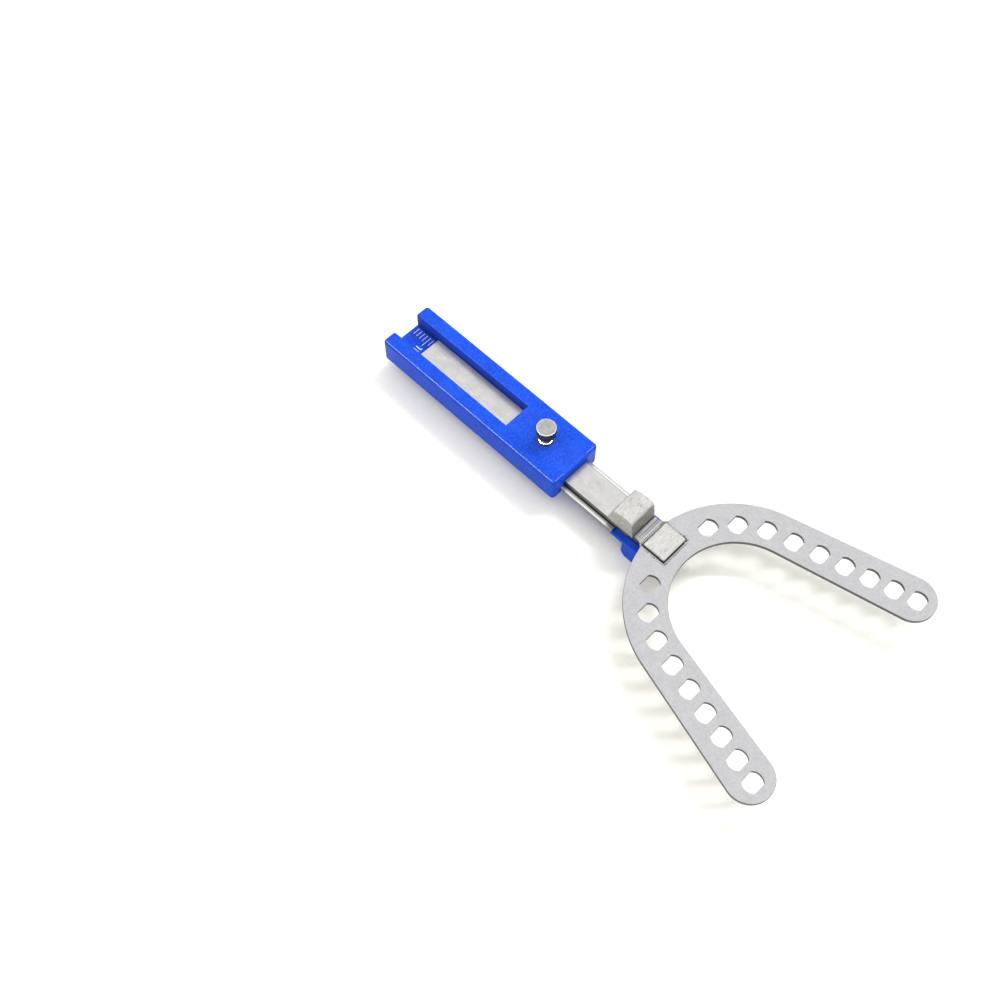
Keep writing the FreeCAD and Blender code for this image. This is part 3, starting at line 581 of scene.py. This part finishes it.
def soften_edges(node, width):
    """Break the sharp edges of a CAD piece with a small bevel."""
    weld = NODES[node].modifiers.new("join", "WELD")
    weld.merge_threshold = MERGE_DISTANCE
    bevel = NODES[node].modifiers.new("break", "BEVEL")
    bevel.width = width
    bevel.segments = 2
    bevel.limit_method = "ANGLE"
    bevel.angle_limit = math.radians(50)


UPPER_KNOB = upper_knob()
lower_knob()
cast_piece("labial_casting", "labial_block", cast_block("labial_steel", BAR_TOP),
           0.45 * MM, 0.10 * MM, 10, 0.05 * MM, 0.14 * MM)
cast_piece("lingual_casting", "lingual_block", cast_block("lingual_steel", PLATE_TOP),
           0.40 * MM, 0.09 * MM, 14, 0.03 * MM, 0.08 * MM)
weld_bead()
soften_edges("fork_plate", 0.15 * MM)
soften_edges("fork_bar", 0.12 * MM)


# Floor, light and camera ---------------------------------------------------------------------

def make_floor():
    half = 1.5
    level = -0.02 * MM
    mesh = bpy.data.meshes.new("floor")
    corners = [(-half, -half, level), (half, -half, level), (half, half, level), (-half, half, level)]
    mesh.from_pydata(corners, [], [(0, 1, 2, 3)])
    floor = bpy.data.objects.new("floor", mesh)
    bpy.context.scene.collection.objects.link(floor)
    g = Graph("floor_paper")
    fibre = g.noise(g.position(), 0.8, detail=3.0)
    base = g.mix(g.remap(fibre, 0.3, 0.7), colour(0.80, 0.79, 0.735), colour(0.83, 0.82, 0.765))
    g.set(base_color=base, roughness=0.75, specular_ior_level=0.2)
    mesh.materials.append(g.material)


def make_world(horizon, zenith):
    """White sky whose strength rises from the horizon to a height, then stays the same."""
    full_height = 0.7
    world = bpy.data.worlds.new("studio")
    bpy.context.scene.world = world
    world.use_nodes = True
    tree = world.node_tree
    direction = tree.nodes.new("ShaderNodeTexCoord").outputs["Generated"]
    parts = tree.nodes.new("ShaderNodeSeparateXYZ")
    tree.links.new(direction, parts.inputs[0])
    rise = tree.nodes.new("ShaderNodeMapRange")
    tree.links.new(parts.outputs["Z"], rise.inputs["Value"])
    limits = {"From Min": 0.0, "From Max": full_height, "To Min": horizon, "To Max": zenith}
    for key, value in limits.items():
        rise.inputs[key].default_value = value
    background = tree.nodes["Background"]
    tree.links.new(rise.outputs["Result"], background.inputs["Strength"])
    background.inputs["Color"].default_value = colour(1.0, 1.0, 1.0)


def make_softbox(name, place, sizes, power, long_axis=(1, 0, 0)):
    """Rectangular soft lamp at a place, facing the middle of the object."""
    light = bpy.data.lights.new(name, "AREA")
    light.shape = "RECTANGLE"
    light.size, light.size_y = sizes
    light.energy = power
    lamp = bpy.data.objects.new(name, light)
    bpy.context.scene.collection.objects.link(lamp)
    back = Vector(place).normalized()
    side = Vector(long_axis)
    side = (side - back * side.dot(back)).normalized()
    lamp.location = place
    lamp.rotation_euler = Matrix((side, back.cross(side), back)).transposed().to_euler()
    return lamp


def make_camera():
    aim = Vector((-17.45, -17.61, 8.2)) * MM
    azimuth, elevation, roll = (math.radians(a) for a in (-45.79, 61.04, 0.594))
    distance = 276.88 * MM
    level = math.cos(elevation)
    # azimuth is the direction from the aim to the camera, counted from +X
    back = Vector((math.cos(azimuth) * level, math.sin(azimuth) * level, math.sin(elevation)))
    lens = bpy.data.cameras.new("camera")
    lens.lens = 45.07
    lens.sensor_width = 36.0
    lens.clip_start = 0.01
    lens.clip_end = 10.0
    camera = bpy.data.objects.new("camera", lens)
    bpy.context.scene.collection.objects.link(camera)
    camera.location = aim + back * distance
    turn = (-back).to_track_quat("-Z", "Y").to_matrix() @ Matrix.Rotation(roll, 3, "Z")
    camera.rotation_euler = turn.to_euler()
    bpy.context.scene.camera = camera


make_floor()
make_world(horizon=0.85, zenith=1.45)
KEY = make_softbox("key_strip", (0.05, 0.63, 0.80), (0.70, 0.08), 7.5, long_axis=(0.710, 0.704, 0))
KEY.visible_glossy = False
# two narrow lamps that only draw highlights, and only on the moulding, its upper insert and knob
POLISHED = bpy.data.collections.new("polished_pieces")
for piece in (NODES["handle"], NODES["upper_insert"], UPPER_KNOB):
    POLISHED.objects.link(piece)
for name, place, sizes, power, axis in (
        ("near_edge_glint", (-0.26, -0.56, 0.50), (0.60, 0.06), 42.0, (1, -0.4, 0)),
        ("front_edge_glint", (0.47, 0.28, 0.58), (0.30, 0.06), 14.0, (-0.5, 1, 0))):
    lamp = make_softbox(name, place, sizes, power, axis)
    lamp.visible_diffuse = False
    lamp.light_linking.receiver_collection = POLISHED
make_camera()
bpy.context.scene.view_settings.view_transform = "Standard"
